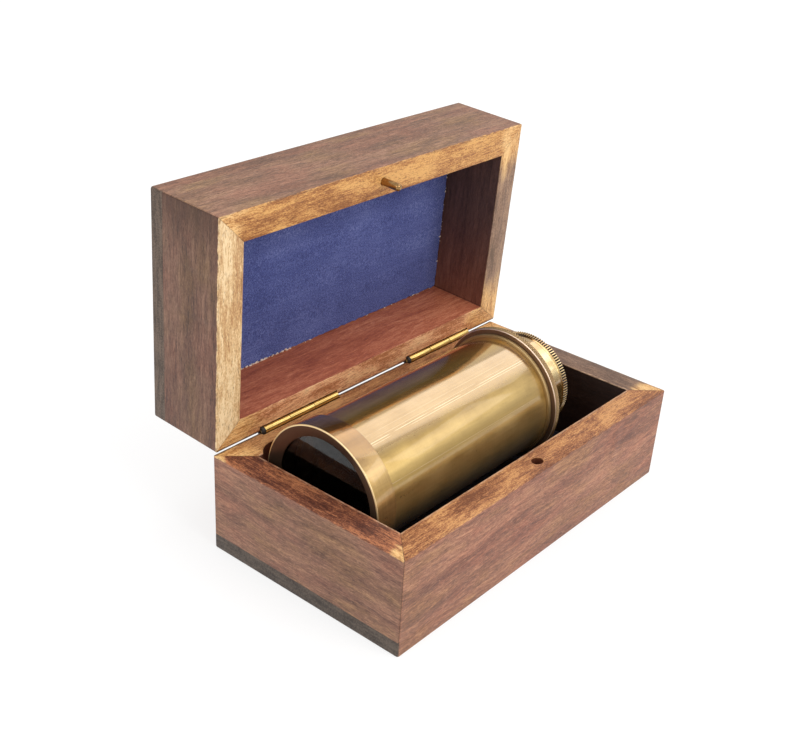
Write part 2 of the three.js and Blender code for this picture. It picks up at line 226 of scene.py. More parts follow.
def solid_of_rings(name, points, rings):
    """A closed solid from equal rings of points, with the first and the last ring filled in."""
    count = len(points) // rings
    faces = [tuple(range(count)), tuple(range(len(points) - count, len(points)))]
    for k in range(rings - 1):
        here, beyond = k * count, (k + 1) * count
        for i in range(count):
            j = (i + 1) % count
            faces.append((here + i, here + j, beyond + j, beyond + i))
    return mesh_object(name, points, faces)


def extrude(name, outline, low, high):
    """A prism along X from a closed outline of (y, z) points."""
    points = [(x, y, z) for x in (low, high) for y, z in outline]
    return solid_of_rings(name, points, 2)


def turned_at(obj, x, y, z, degrees, axis):
    """Turns a piece built on the X axis and puts its station 0 at a place, in its mesh."""
    place = Matrix.Translation((x * MM, y * MM, z * MM))
    obj.data.transform(place @ Matrix.Rotation(math.radians(degrees), 4, axis))
    return obj


def drift(x, seed, size):
    """A smooth wandering number from -1 to 1 along x, with waves of about that size."""
    return 2 * noise.noise(Vector((x / size, seed * 7.31, seed * 1.7)))


# ---- material tools


def rgb(red, green, blue):
    """A linear colour from 8-bit screen values."""
    values = []
    for c in (red, green, blue):
        c = c / 255
        values.append(c / 12.92 if c <= 0.04045 else ((c + 0.055) / 1.055) ** 2.4)
    return (*values, 1.0)


class Nodes:
    """A material, or the world, being made. Inputs may be numbers, colours or other nodes' sockets."""

    def __init__(self, name, kind=bpy.data.materials):
        self.made = kind.new(name)
        self.made.use_nodes = True
        self.tree = self.made.node_tree
        self.tree.nodes.clear()

    def node(self, kind, settings=None, **inputs):
        made = self.tree.nodes.new(kind)
        for key, value in (settings or {}).items():
            setattr(made, key, value)
        for key, value in inputs.items():
            slot = made.inputs[int(key[1:])] if key[0] == "_" else made.inputs[key.replace("_", " ")]
            self.put(slot, value)
        return made

    def put(self, slot, value):
        if isinstance(value, bpy.types.NodeSocket):
            self.tree.links.new(value, slot)
        else:
            slot.default_value = value

    def math(self, operation, a, b=0.0):
        return self.node("ShaderNodeMath", {"operation": operation}, _0=a, _1=b).outputs[0]

    def plus(self, a, b):
        return self.math("ADD", a, b)

    def minus(self, a, b):
        return self.math("SUBTRACT", a, b)

    def times(self, a, b):
        return self.math("MULTIPLY", a, b)

    def apart(self, a, b):
        return self.math("ABSOLUTE", self.minus(a, b))

    def sway(self, noise, reach):
        """Noise about one half made into a number about 0."""
        return self.times(self.minus(noise, 0.5), reach)

    def vector(self, operation, a, b=(0, 0, 0)):
        return self.node("ShaderNodeVectorMath", {"operation": operation}, _0=a, _1=b).outputs[0]

    def mix(self, factor, a, b, blend="MIX"):
        settings = {"data_type": "RGBA", "blend_type": blend}
        return self.node("ShaderNodeMix", settings, _0=factor, _6=a, _7=b).outputs[2]

    def span(self, value, low, high, to_low=0.0, to_high=1.0):
        """value taken smoothly from the range low..high to another one."""
        settings = {"interpolation_type": "SMOOTHSTEP"}
        inputs = {"_0": value, "_1": low, "_2": high, "_3": to_low, "_4": to_high}
        return self.node("ShaderNodeMapRange", settings, **inputs).outputs[0]

    def noise(self, place, scale, detail=3.0, roughness=0.5, output=0):
        """Noise with scale cells a millimetre. Output 0 is a number and output 1 a colour."""
        scaled = self.vector("MULTIPLY", place, scale)
        inputs = {"Vector": scaled, "Scale": 1.0, "Detail": detail, "Roughness": roughness}
        return self.node("ShaderNodeTexNoise", None, **inputs).outputs[output]

    def ramp(self, value, *stops):
        made = self.node("ShaderNodeValToRGB", None, Fac=value)
        elements = made.color_ramp.elements
        while len(elements) < len(stops):
            elements.new(0.5)
        for element, (place, color) in zip(elements, stops):
            element.position = place
            element.color = color
        return made.outputs[0]

    def local(self):
        """The piece's own coordinates, in millimetres."""
        own = self.node("ShaderNodeTexCoord").outputs["Object"]
        return self.vector("MULTIPLY", own, (1 / MM, 1 / MM, 1 / MM))

    def split(self, vector):
        return self.node("ShaderNodeSeparateXYZ", None, _0=vector).outputs

    def bump(self, height, strength, distance_mm):
        inputs = {"Strength": strength, "Distance": distance_mm * MM, "Height": height}
        return self.node("ShaderNodeBump", None, **inputs).outputs[0]

    def finish(self, shader="BsdfPrincipled", output="OutputMaterial", **inputs):
        made = self.node("ShaderNode" + shader, None, **inputs)
        self.node("ShaderNode" + output, None, _0=made.outputs[0])
        return self.made


# ---- wood

# Palettes are (dark, middle, light) screen values. Each side's skin and rim palette is one sheesham
# painted lighter or darker as that face is lit or shaded: painted light and shade.
SKINS = {
    "base front": ((100, 68, 56), (141, 99, 80), (182, 136, 108)),
    "base near": ((92, 64, 53), (132, 97, 80), (170, 132, 106)),
    "lid front": ((98, 72, 59), (135, 102, 82), (170, 134, 110)),
    "lid near": ((76, 56, 48), (112, 84, 70), (144, 114, 96)),
}
RIMS = {
    "base front": ((112, 62, 34), (166, 108, 66), (206, 150, 94)),
    "base near": ((76, 38, 26), (124, 72, 50), (186, 120, 80)),
    "base far": ((92, 68, 54), (122, 94, 76), (148, 116, 92)),
    "base back": ((130, 82, 50), (176, 122, 80), (206, 156, 104)),
    "lid front": ((136, 84, 44), (180, 124, 70), (216, 164, 98)),
    "lid near": ((180, 136, 92), (214, 178, 130), (236, 208, 164)),
    "lid far": ((108, 84, 66), (138, 108, 88), (164, 132, 106)),
    "lid back": ((164, 102, 64), (214, 152, 110), (236, 190, 140)),
}
GOLDEN = ((160, 106, 56), (210, 158, 98), (234, 192, 132))
# The inner palettes are painted light and shade: dark on faces that light hardly reaches, darkest on
# the base's far end, and lit red on the lid's back wall, which faces up.
INNERS = {
    "base front": ((96, 62, 38), (134, 94, 60), (158, 118, 78)),
    "base near": ((60, 34, 26), (86, 52, 38), (104, 66, 48)),
    "base far": ((26, 16, 14), (40, 24, 20), (54, 34, 28)),
    "base back": ((58, 30, 22), (86, 48, 36), (106, 64, 46)),
    "lid front": ((50, 30, 24), (84, 50, 40), (110, 68, 52)),
    "lid near": ((50, 30, 24), (84, 50, 40), (110, 68, 52)),
    "lid far": ((56, 38, 34), (82, 58, 52), (106, 76, 68)),
    "lid back": ((130, 62, 43), (174, 96, 68), (208, 134, 100)),
}
GOLDEN_RED = ((130, 66, 44), (176, 100, 68), (206, 132, 92))
PORE = rgb(40, 22, 16)
# Painted shade inside the holes and cuts in a wall.
HOLE_SHADE = rgb(92, 46, 26)
GAP_SHADOW = rgb(52, 30, 20)


def board_grain(m, seed):
    """The grain's own patterns, from the place in the board: (along it, depth, from the rim)."""
    grain = m.node("ShaderNodeAttribute", {"attribute_name": "grain"}).outputs["Vector"]
    place = m.vector("ADD", grain, (seed * 37.0, seed * 11.0, seed * 23.0))
    wave = m.noise(place, (0.02, 0.06, 0.06), 2, output=1)
    wander = m.vector("MULTIPLY", m.vector("SUBTRACT", wave, (0.5, 0.5, 0.5)), (0, 7, 7))
    lines = m.vector("ADD", place, wander)

    def pattern(vector, along, across, detail, roughness=0.5, shift=(0, 0, 0)):
        moved = m.vector("ADD", vector, shift)
        return m.noise(moved, (along, across, across), detail, roughness)

    dashes = pattern(place, 0.5, 3.4, 1)
    flecks = pattern(place, 0.45, 2.4, 1, shift=(91, 17, 5))
    return {
        "grain": grain,
        "place": place,
        "band": pattern(lines, 0.02, 0.15, 3, 0.55),
        "streak": pattern(lines, 0.07, 0.8, 4, 0.65),
        "hair": pattern(lines, 0.3, 2.8, 3, 0.6),
        "grit": pattern(place, 1.2, 2.4, 2, 0.6),
        "hue": pattern(lines, 0.03, 0.08, 3, 0.6, (13, 57, 31)),
        "blotch": pattern(place, 0.05, 0.12, 3, shift=(7, 3, 71)),
        "ragged": pattern(place, 0.3, 1.2, 3, 0.7),
        "pore": m.span(dashes, 0.62, 0.72),
        "fleck": m.span(flecks, 0.62, 0.74),
    }


def blend_tones(m, pattern, **weights):
    """A sum of patterns, moved so that it stays about one half."""
    total = 0.5 - sum(weights.values()) / 2
    for name, weight in weights.items():
        total = m.plus(m.times(pattern[name], weight), total)
    return total


def three_tones(m, tone, palette, spread=0.16):
    dark, middle, light = [rgb(*color) for color in palette]
    return m.ramp(tone, (0.5 - spread, dark), (0.5, middle), (0.5 + spread, light))


def skin_tones(m, p, palette):
    """The oiled face of a board: fine streaks, with soft reddish and olive patches and light flecks."""
    tone = blend_tones(m, p, band=0.28, streak=0.42, hair=0.38, grit=0.2)
    color = three_tones(m, tone, palette, 0.135)
    reddish, plain, olive = rgb(254, 236, 234), rgb(250, 243, 240), rgb(248, 246, 226)
    patches = m.ramp(p["hue"], (0.36, reddish), (0.5, plain), (0.64, olive))
    color = m.mix(1.0, color, patches, "MULTIPLY")
    color = m.mix(m.times(p["fleck"], 0.5), color, rgb(*palette[2]))
    return m.mix(m.times(p["pore"], 0.4), color, PORE), tone


def wood_material(name, side, seed, half, golden_ends=0.0, dark_end=0.0, red_inside=0.0, grimy=0.0):
    """Oiled sheesham, for a wall such as "base front". half is half its length, golden_ends how far
    in its rim is pale, dark_end how dark its skin grows towards one end, red_inside how much redder
    its inner face is at one end (the other if below 0), and the last argument how dark its outer
    arris is painted, as painted shadow from the gap between lid and base."""
    skin = SKINS.get(side, SKINS[side.split()[0] + " front"])
    m = Nodes(name)
    p = board_grain(m, seed)
    along, depth, below = m.split(p["grain"])
    skin_color, tone = skin_tones(m, p, skin)
    if dark_end:
        shade_in = m.span(along, half - 20, half, 0, dark_end)
        skin_color = m.mix(shade_in, skin_color, rgb(62, 38, 26))
    rim_tone = blend_tones(m, p, band=0.3, streak=0.4, hair=0.45, blotch=0.5, grit=0.4)
    rim_color = three_tones(m, rim_tone, RIMS[side], 0.11)
    from_middle = m.math("ABSOLUTE", along)
    if golden_ends:
        uneven = m.sway(p["blotch"], 30)
        at_end = m.span(m.plus(from_middle, uneven), half - golden_ends, half - 0.4 * golden_ends)
        rim_color = m.mix(at_end, rim_color, three_tones(m, rim_tone, GOLDEN, 0.11))
    rim_color = m.mix(m.times(p["pore"], 0.6), rim_color, rgb(92, 48, 24))
    torn = m.times(m.span(depth, 1.3, 0.2), m.span(p["ragged"], 0.44, 0.62))
    rim_color = m.mix(m.times(torn, 0.4), rim_color, rgb(*skin[0]))
    # Painted highlight: a pale patchy line along the base rims' inner edge, where the arris catches the
    # light.
    if side.startswith("base"):
        patchy = m.span(p["ragged"], 0.4, 0.6, 0.05, 0.6)
        lit_inner_edge = m.times(m.span(depth, WALL - 1.1, WALL - 0.5), patchy)
        rim_color = m.mix(lit_inner_edge, rim_color, rgb(214, 176, 142))
    # Painted shadow: the outer arris darkens along the gap between lid and base.
    if grimy:
        rim_color = m.mix(m.span(depth, 1.1, 0.4, 0, grimy), rim_color, GAP_SHADOW)
    inner_color = three_tones(m, tone, INNERS[side])
    if red_inside:
        end = math.copysign(half, red_inside)
        reddened = m.span(along, -0.3 * end, end, 0, abs(red_inside))
        inner_color = m.mix(reddened, inner_color, three_tones(m, tone, GOLDEN_RED))
    scuffs = m.span(p["hair"], 0.64, 0.72, 0, 0.4)
    inner_color = m.mix(scuffs, inner_color, rgb(*INNERS[side][2]))
    edge = m.plus(below, m.sway(p["ragged"], 0.9))
    color = m.mix(m.span(depth, WALL - 0.45, WALL - 0.15), skin_color, inner_color)
    # Painted shade: faces cut into the wall below its rim, as in the peg hole, the mortises and the
    # relief, are darker.
    shaded_in_cut = m.times(m.span(depth, 0.8, 1.2), m.span(depth, WALL - 0.8, WALL - 1.2))
    color = m.mix(shaded_in_cut, color, HOLE_SHADE)
    color = m.mix(m.span(edge, 0.45, 0.1), color, rim_color)
    to_mitre = m.minus(m.minus(half, depth), from_middle)
    color = m.mix(m.span(to_mitre, 0.3, 0.05, 0, 0.5 if side.startswith("base") else 0.25), color, PORE)
    height = blend_tones(m, p, streak=0.4, hair=0.5, grit=0.35, pore=-0.7)
    return m.finish(
        Base_Color=color,
        Roughness=m.span(p["streak"], 0.3, 0.7, 0.46, 0.62),
        Normal=m.bump(height, 0.6, 0.14),
        Specular_IOR_Level=0.35,
    )


def side_grain(side, rim, back_wall, length):
    """The place in its board of a point of a mitred wall whose rim is at that height. It is measured
    as if all four walls were equally thick, so that the mitres stay on the 45 degree lines."""
    thinner = back_wall / WALL

    def along_end(y, depth):
        return y - (1 - thinner) * depth * max(0, y) / (CASE_WIDTH / 2)

    def place(x, y, z):
        below = abs(z - rim)
        if side == "front":
            return x, CASE_WIDTH / 2 + y, below
        if side == "back":
            return -x, (CASE_WIDTH / 2 - y) / thinner, below
        depth = length / 2 - abs(x)
        return along_end(y, depth) * (-1 if side == "near" else 1), depth, below

    return place


def set_grain(obj, function):
    """Stores each vertex's place in its own board, so that the grain follows the board."""
    layer = obj.data.attributes.new("grain", "FLOAT_VECTOR", "POINT")
    places = np.array([function(*(v.co / MM)) for v in obj.data.vertices], np.float32)
    layer.data.foreach_set("vector", places.ravel())


def wall(name, side, section, length, corner=0.8, seed=0, wear=0.14, mitres=(1, 1)):
    """A mitred wall. section is its outline as (depth from the outer face, z) points, and mitres
    are how far each end's mitre runs back for each millimetre of depth."""
    alongx = side in ("front", "back")
    half = (length if alongx else CASE_WIDTH) / 2
    reach = (CASE_WIDTH if alongx else length) / 2
    seam = 0.03
    arc = np.linspace(0, 1, 6)
    stations = [("start", t) for t in arc]
    stations += [("middle", f) for f in np.linspace(0, 1, 42)[1:-1]]
    stations += [("end", t) for t in arc[::-1]]
    points = []
    for kind, t in stations:
        for depth, z in section:
            out = reach - depth
            if kind == "middle":
                if depth < corner:
                    first = last = half - corner
                else:
                    first, last = [half - depth * slope - 0.7 * corner for slope in mitres]
                s = -first + t * (first + last)
            elif depth < corner:
                angle = math.radians(45) * (1 - t)
                s = half - corner + (corner - depth) * math.sin(angle)
                out = reach - corner + (corner - depth) * math.cos(angle)
            else:
                s = half - depth * mitres[kind == "end"] - t * 0.7 * corner
            if kind != "middle":
                s = (s - seam * (1 - t)) * (1 if kind == "end" else -1)
            elif 0 < depth < 2.5:
                out -= wear * abs(drift(s, seed, 9.0))
            points.append((s, out, z))
    turn = {
        "front": lambda s, o: (s, -o),
        "far": lambda s, o: (o, s),
        "back": lambda s, o: (-s, o),
        "near": lambda s, o: (-o, -s),
    }
    points = [(*turn[side](s, o), z) for s, o, z in points]
    return solid_of_rings(name, points, len(stations))


def rounded_board(name, levels, corner, length):
    """A board over the whole case, from (z, inset) levels of a rounded rectangle."""
    points = []
    per_corner = 6
    for z, inset in levels:
        half_x = length / 2 - inset
        half_y = CASE_WIDTH / 2 - inset
        for quarter in range(4):
            cx = (half_x - corner) * (1, -1, -1, 1)[quarter]
            cy = (half_y - corner) * (1, 1, -1, -1)[quarter]
            for a in np.linspace(0, 90, per_corner):
                angle = math.radians(quarter * 90 + a)
                points.append((cx + corner * math.cos(angle), cy + corner * math.sin(angle), z))
    return solid_of_rings(name, points, len(levels))


def hinge_cutters(direction):
    """What each hinge takes out of a back wall: the round mortise and the leaf's recess."""
    head_room = 1.7
    end_room = 0.6
    leaf_room = 0.2
    floor = LEAF_Y - 0.1
    outside = CASE_WIDTH / 2 + 2.2
    cutters = []
    for start in HINGE_STARTS:
        end = start + HINGE_LENGTH
        mortise = disc("mortise", start - head_room, end + end_room, MORTISE_RADIUS, 0, 48)
        mortise.data.transform(HINGE)
        low, high = sorted((HINGE_Z, HINGE_Z + direction * (LEAF_DEPTH + leaf_room)))
        outline = [(floor, low), (outside, low), (outside, high), (floor, high)]
        cutters += [mortise, extrude("recess", outline, start - leaf_room, end + leaf_room)]
    return cutters


def complete(obj, body, nodes, material, turned=None, crisp=32):
    """Gives a finished piece smooth faces, with edges of more than crisp degrees kept sharp, its
    material and its body, and hides the CAD nodes it stands for."""
    obj.data.shade_smooth()
    obj.data.set_sharp_from_angle(angle=math.radians(crisp))
    if turned is not None:
        obj.data.transform(turned)
    obj.data.materials.clear()
    obj.data.materials.append(material)
    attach(obj, body)
    if nodes:
        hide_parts(*nodes)


def torn_edge(station, radius, angles):
    """The peg hole's rough edge, as a cut into its drill: below 0, so the hole only grows wider."""
    rough = [drift(math.cos(a), 1, 1.1) + drift(math.sin(a), 5, 0.8) for a in angles]
    return [min(-0.05, 0.18 * r - 0.3) for r in rough]


def wall_piece(part, side, seed, **looks):
    """One wall of the base or the lid, built shut."""
    base = part == "base"
    rim = BASE_TOP if base else LID_RIM
    length = CASE_LENGTH if base else LID_LENGTH
    hidden = BOARD_TOP + 0.02 if base else LID_WALL_TOP - 0.02
    back_wall = WALL if base else LID_BACK_WALL
    thick = back_wall if side == "back" else WALL
    thinner = back_wall / WALL
    uneven = {"back": (1 / thinner, 1 / thinner), "near": (thinner, 1), "far": (1, thinner)}
    mitres = uneven.get(side, (1, 1))
    arris = 0.15 if side == "back" else 0.4
    section = eased([(0, hidden, 0), (0, rim, arris), (thick, rim, 0.3), (thick, hidden, 0)])
    piece = wall(f"{part}_{side}_side", side, section, length, seed=seed, mitres=mitres)
    if side == "back" and base:
        relief = disc("relief", RELIEF_LOW, BASE_TOP + 2, RELIEF_RADIUS, 0, 96)
        turned_at(relief, RELIEF_X, RELIEF_Y, 0, -90, "Y")
        boolean(piece, [relief, *hinge_cutters(-1)])
    elif side == "back":
        cutters = hinge_cutters(1)
        for cutter in cutters:
            cutter.data.transform(Matrix.Translation((-LID_SHIFT * MM, 0, 0)))
        boolean(piece, cutters)
    elif side == "front" and base:
        bore = PEG_HOLE_RADIUS
        tip = PEG_HOLE_DEPTH + 1
        outline = [(-2, 0, 0), (-2, bore, 0), (PEG_HOLE_DEPTH, bore, 0), (tip, 0, 0)]
        hole = lathe("hole", outline, 72, torn_edge)
        boolean(piece, [turned_at(hole, PEG_HOLE_X, PEG_HOLE_Y, BASE_TOP, 90, "Y")])
    elif side == "front":
        socket = disc("socket", -2, PEG_SUNK + 0.1, PEG_RADIUS + 0.1, 0, 40)
        boolean(piece, [turned_at(socket, PEG_X - LID_SHIFT, PEG_Y, LID_RIM, -90, "Y")])
    set_grain(piece, side_grain(side, rim, back_wall, length))
    half = (length if side in ("front", "back") else CASE_WIDTH) / 2
    material = wood_material(f"{part} {side} wood", f"{part} {side}", seed, half, **looks)
    node_side = {"near": "near_end", "far": "far_end"}.get(side, side)
    body = "case" if base else "lid"
    turned = None if base else LID_OPEN
    complete(piece, body, [f"{part}_{node_side}_wall"], material, turned)


def case_walls():
    wall_piece("base", "front", 1)
    wall_piece("base", "back", 2, golden_ends=20.0, grimy=0.8)
    wall_piece("base", "near", 3, golden_ends=5.0)
    wall_piece("base", "far", 4, golden_ends=12.0)
    wall_piece("lid", "front", 11, golden_ends=14.0)
    wall_piece("lid", "back", 12, golden_ends=30.0, red_inside=-0.35, grimy=0.8)
    wall_piece("lid", "near", 13, dark_end=0.6)
    wall_piece("lid", "far", 14, golden_ends=22.0, red_inside=0.4)


def board_material(name, seed, skin, end, length):
    """A board with long grain on its faces and edges and darker end grain on its two ends."""
    m = Nodes(name)
    p = board_grain(m, seed)
    color = skin_tones(m, p, skin)[0]
    cells = m.noise(p["place"], (1.2, 1.6, 1.6), 3, 0.7)
    rings = m.noise(p["place"], (0.1, 0.1, 0.7), 2)
    end_tone = blend_tones(m, {"cells": cells, "rings": rings}, cells=0.8, rings=0.7)
    end_color = m.ramp(end_tone, (0.36, end[0]), (0.64, end[1]))
    from_end = m.minus(length / 2, m.math("ABSOLUTE", m.split(p["grain"])[0]))
    is_end = m.span(m.plus(from_end, m.times(cells, 0.3)), 0.9, 0.3)
    color = m.mix(is_end, color, end_color)
    height = blend_tones(m, p, streak=0.4, hair=0.5, grit=0.3, pore=-0.7)
    return m.finish(
        Base_Color=color,
        Roughness=m.span(p["streak"], 0.3, 0.7, 0.5, 0.66),
        Normal=m.bump(height, 0.5, 0.12),
        Specular_IOR_Level=0.35,
    )


def case_boards():
    """The boards over the walls. rounding is their arris, as (inset, height) steps."""
    rounding = [(0.6, 0), (0.32, 0.06), (0.15, 0.15), (0.06, 0.32), (0, 0.6)]
    base = [(height, inset) for inset, height in rounding] + [(BOARD_TOP, 0)]
    lid = [(LID_WALL_TOP, 0)] + [(LID_TOP - height, inset) for inset, height in rounding[::-1]]
    # The base board's end grain is painted darker than the lid's, as painted shade low on the case.
    base_ends = (rgb(56, 47, 41), rgb(92, 80, 70))
    lid_ends = (rgb(70, 57, 48), rgb(110, 92, 79))
    for part, body, node, levels, length, seed, ends, turned in (
        ("base", "case", "base_bottom_board", base, CASE_LENGTH, 21, base_ends, None),
        ("lid", "lid", "lid_top_board", lid, LID_LENGTH, 22, lid_ends, LID_OPEN),
    ):
        board = rounded_board(f"{part}_board", levels, 0.8, length)
        set_grain(board, lambda x, y, z: (x, y, z))
        skin = SKINS[f"{part} front"]
        material = board_material(f"{part} board wood", seed, skin, ends, length)
        complete(board, body, [node], material, turned)


# ---- felt


def felt_material(name, dark, middle, light):
    m = Nodes(name)
    place = m.local()
    fibre = m.noise(place, (1.6, 1.6, 1.6), 5, 0.85)
    cloud = m.noise(place, (0.05, 0.05, 0.05), 2)
    crease = m.noise(place, (0.015, 0.4, 0.4), 2)
    lint = m.noise(place, (1.1, 1.1, 1.1), 1)
    parts = {"fibre": fibre, "cloud": cloud, "crease": crease}
    tone = blend_tones(m, parts, fibre=1.1, cloud=0.25, crease=0.1)
    color = m.ramp(tone, (0.32, dark), (0.5, middle), (0.7, light))
    color = m.mix(m.span(lint, 0.74, 0.8, 0, 0.5), color, light)
    return m.finish(
        Base_Color=color,
        Roughness=0.95,
        Normal=m.bump(fibre, 0.8, 0.25),
        Sheen_Weight=0.25,
        Sheen_Roughness=0.5,
        Specular_IOR_Level=0.1,
    )


def felt(name, face, back, size, seed):
    """A thin ragged-edged sheet: face and back are the z of its visible and hidden sides."""
    step = 1.1
    half_x, half_y = size[0] / 2, size[1] / 2
    nx = int(size[0] / step)
    ny = int(size[1] / step)
    points = []
    for side_z, lively in ((face, 1), (back, 0)):
        for j in range(ny + 1):
            for i in range(nx + 1):
                u, v = i / nx * 2 - 1, j / ny * 2 - 1
                x = u * (half_x - 0.25 - 0.25 * drift(v * half_y, seed + (2 if u > 0 else 3), 2.2))
                y = v * (half_y - 0.25 - 0.25 * drift(u * half_x, seed + (4 if v > 0 else 5), 2.2))
                fuzz = 0.07 * noise.noise(Vector((x * 0.6, y * 0.6, seed))) * lively
                points.append((x, y, side_z + fuzz))
    size_one = (nx + 1) * (ny + 1)
    faces = []
    for layer in (0, size_one):
        for j in range(ny):
            for i in range(nx):
                a = layer + j * (nx + 1) + i
                faces.append((a, a + 1, a + nx + 2, a + nx + 1))
    border = list(range(nx + 1))
    border += [j * (nx + 1) + nx for j in range(1, ny + 1)]
    border += [ny * (nx + 1) + i for i in range(nx - 1, -1, -1)]
    border += [j * (nx + 1) for j in range(ny - 1, 0, -1)]
    for a, b in zip(border, border[1:] + border[:1]):
        faces.append((a, b, b + size_one, a + size_one))
    return mesh_object(name, points, faces)


def linings():
    # The base felt is the lid's blue felt painted much darker, as painted shade inside the case.
    shaded = felt_material("shaded base felt", rgb(14, 15, 30), rgb(22, 24, 44), rgb(36, 38, 60))
    bright = felt_material("lid felt", rgb(44, 52, 102), rgb(69, 79, 139), rgb(118, 128, 182))
    length = CASE_LENGTH - 2 * WALL - LINING_GAP
    lid_length = LID_LENGTH - 2 * WALL - LINING_GAP
    width = CASE_WIDTH - 2 * WALL - LINING_GAP
    base = felt("base_felt", BASE_FELT_TOP, BASE_FELT_UNDER, (length, width), 5)
    complete(base, "case", ["base_felt_lining"], shaded, crisp=60)
    wider = WALL - LID_BACK_WALL
    top = felt("lid_felt", LID_FELT_FACE, LID_FELT_BACK, (lid_length, width + wider), 6)
    top.data.transform(Matrix.Translation((0, wider / 2 * MM, 0)))
    complete(top, "lid", ["lid_felt_lining"], bright, LID_OPEN, 60)
    glue_beads()


def glue_beads():
    """Beads of glue along the lid felt's hinge-side edge, thick at one end, and a few at the other."""
    draw = np.random.default_rng(11)
    back = CASE_WIDTH / 2 - LID_BACK_WALL
    end = LID_LENGTH / 2 - WALL
    thick_run = 50
    at_near_end, along_edge, at_far_end = 170, 30, 14
    places = []
    for _ in range(at_near_end):
        places.append((-end + 2 + thick_run * draw.random() ** 1.6, back - 0.7 * draw.random()))
    for _ in range(along_edge):
        places.append((-end + 2 * end * draw.random(), back - 0.5 * draw.random()))
    for _ in range(at_far_end):
        places.append((end - 0.6 * draw.random(), back - 5 - 50 * draw.random()))
    work = bmesh.new()
    for x, y in places:
        size = (0.15 + 0.32 * draw.random() ** 2) * MM
        stretched = Matrix.Diagonal((1 + 1.2 * draw.random(), 1, 0.8, 1))
        spot = Matrix.Translation((x * MM, y * MM, LID_FELT_FACE * MM)) @ stretched
        bmesh.ops.create_icosphere(work, subdivisions=1, radius=size, matrix=spot)
    mesh = bpy.data.meshes.new("glue_beads")
    work.to_mesh(mesh)
    work.free()
    beads = new_object("glue_beads", mesh)
    glue = plain_material("dried glue", rgb(232, 214, 196), rgb(196, 170, 150), 0.4)
    complete(beads, "lid", [], glue, LID_OPEN, 80)


# ---- metal


def brass_material(name, tint, dark, rough, lines=(), turned=0.5, coat=0.5, faces=(), round_it=()):
    """Aged brass. lines are (angle about the axis, half width, strength) scratches along it, in the
    bump and painted pale as glints. faces are (station, radius, half station, half radius, colour,
    strength) boxes of another tone, some of them painted shade and painted highlights. round_it
    holds the (angle, *screen values) stops of painted reflection bands round the axis. Angles are
    in degrees from the top, towards -Y, and the lacquer is thinner on the far side of the top."""
    m = Nodes(name)
    place = m.local()
    x, y, z = m.split(place)
    parts = {
        "mottles": m.noise(place, (0.07, 0.12, 0.12), 4, 0.6),
        "speck": m.noise(place, (0.9, 1.3, 1.3), 3, 0.6),
        "streaks": m.noise(place, (0.015, 0.9, 0.9), 3, 0.6),
        "rings": m.noise(place, (4.0, 0.1, 0.1), 2),
        "waves": m.noise(place, (0.03, 0.1, 0.1), 1),
    }
    angle = m.math("ARCTAN2", m.times(y, -1), z)
    tone = blend_tones(m, parts, mottles=0.4, speck=0.048, streaks=0.2, rings=0.2 * turned)
    color = m.ramp(tone, (0.38, dark), (0.58, tint))
    # Painted reflections: bands of lighter and darker colour round the axis, standing for what reflects
    # in the brass.
    if round_it:
        start, end = round_it[0][0], round_it[-1][0]
        spread = m.sway(parts["mottles"], math.radians(10))
        turn = m.plus(angle, spread)
        turn = m.minus(turn, math.radians(start))
        turn = m.math("DIVIDE", turn, math.radians(end - start))
        stops = [((degrees - start) / (end - start), rgb(*stop)) for degrees, *stop in round_it]
        color = m.mix(1.0, color, m.ramp(turn, *stops), "MULTIPLY")
    roughness = blend_tones(m, parts, mottles=0.12, streaks=0.06, speck=0.1)
    roughness = m.plus(roughness, rough - 0.5)
    if round_it:
        polished = m.span(angle, math.radians(30), math.radians(42), -0.15, 0.02)
        roughness = m.plus(roughness, polished)
    height = blend_tones(m, parts, rings=turned, streaks=0.4, waves=0.3, speck=0.1)
    # Scratches along the axis: real marks in the bump, painted pale along their length as a glint.
    for centre, width, strength in lines:
        apart = m.apart(angle, math.radians(centre))
        along_line = m.vector("ADD", place, (centre / 0.05, 0, 0))
        broken = m.noise(along_line, (0.05, 0, 0))
        on = m.times(m.span(apart, math.radians(width), 0), m.span(broken, 0.36, 0.5))
        color = m.mix(m.times(on, strength), color, rgb(255, 238, 205))
        height = m.minus(height, m.times(on, 0.8))
    radius = m.math("POWER", m.plus(m.times(y, y), m.times(z, z)), 0.5)
    coating = m.times(m.span(angle, math.radians(-5), math.radians(12), 0.45, 1), coat)
    for station, centre, half_station, half_radius, face_tone, strength in faces:
        off_station = m.apart(x, station)
        off_radius = m.apart(radius, centre)
        near = m.span(off_station, half_station + 0.1, half_station)
        inside = m.times(near, m.span(off_radius, half_radius + 0.12, half_radius - 0.04))
        color = m.mix(m.times(inside, strength), color, face_tone)
        roughness = m.plus(roughness, m.times(inside, 0.2))
        coating = m.times(coating, m.minus(1, m.times(inside, 0.8)))
    return m.finish(
        Base_Color=color,
        Metallic=0.9,
        Roughness=m.math("MAXIMUM", roughness, 0.08),
        Normal=m.bump(height, 0.3, 0.03),
        Coat_Weight=coating,
        Coat_Roughness=0.06,
        Coat_IOR=1.9,
    )


def scope_piece(obj, body, nodes, material, crisp=32):
    """A turned piece keeps its own axis as its local X, and stands on the scope's axis."""
    obj.matrix_world = SCOPE
    complete(obj, body, nodes, material, crisp=crisp)


def diamond_knurl(low, high, teeth, depth):
    """Two crossed sets of helical cuts between two stations, fading out at both."""

    def cut(station, radius, angles):
        if not low <= station <= high:
            return np.zeros_like(angles)
        fade = min(1, (station - low) / 0.25, (high - station) / 0.25)
        slope = teeth * (station - low) / 27.0
        first = np.abs(np.sin(teeth * angles / 2 + slope))
        second = np.abs(np.sin(teeth * angles / 2 - slope))
        return depth * fade * (1 - np.minimum(first, second))

    return cut


def straight_knurl(low, high, teeth, depth):
    """Teeth along the axis between two stations."""

    def cut(station, radius, angles):
        if not low <= station <= high:
            return np.zeros_like(angles)
        return depth * (0.5 - 0.5 * np.cos(teeth * angles)) ** 2

    return cut


